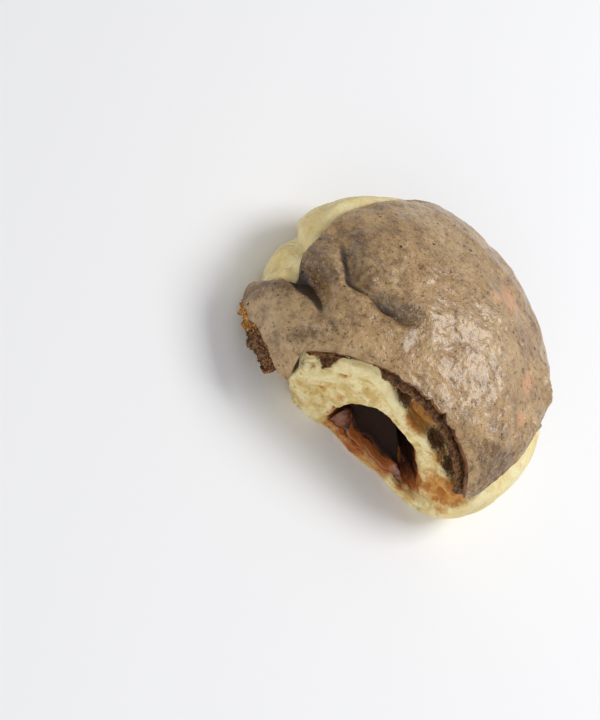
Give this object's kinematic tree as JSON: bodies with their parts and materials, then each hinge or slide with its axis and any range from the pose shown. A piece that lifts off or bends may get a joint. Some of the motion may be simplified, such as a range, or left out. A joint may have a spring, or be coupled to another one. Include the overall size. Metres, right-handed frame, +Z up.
{
  "type": "coffee bun",
  "caption": "Domed coffee bun with a baked coffee topping, bitten open on one side to show torn crumb, a hollow and dark chocolate filling.",
  "frame": {"origin": "middle of the bun's round flat base, on the surface that it rests on", "axes": "+Z up through the top of the dome; the bitten face looks along -Y; +X to the right of somebody who looks into the bite, with the hanging flap of topping on the -X side"},
  "size_m": [0.0912, 0.082, 0.0405],
  "materials": {
    "bread": "soft wheat bread, pale cream outside, torn crumb in the bite, golden crust under the flap",
    "topping": "thin baked coffee topping, greyish brown, fine-pored and softly satin",
    "filling": "dark chocolate filling, wet and glossy, thinner and red-brown at its edges"
  },
  "bodies": {
    "root": {"bun_bread": "bread", "coffee_topping": "topping", "chocolate_filling": "filling"}
  },
  "joints": []
}
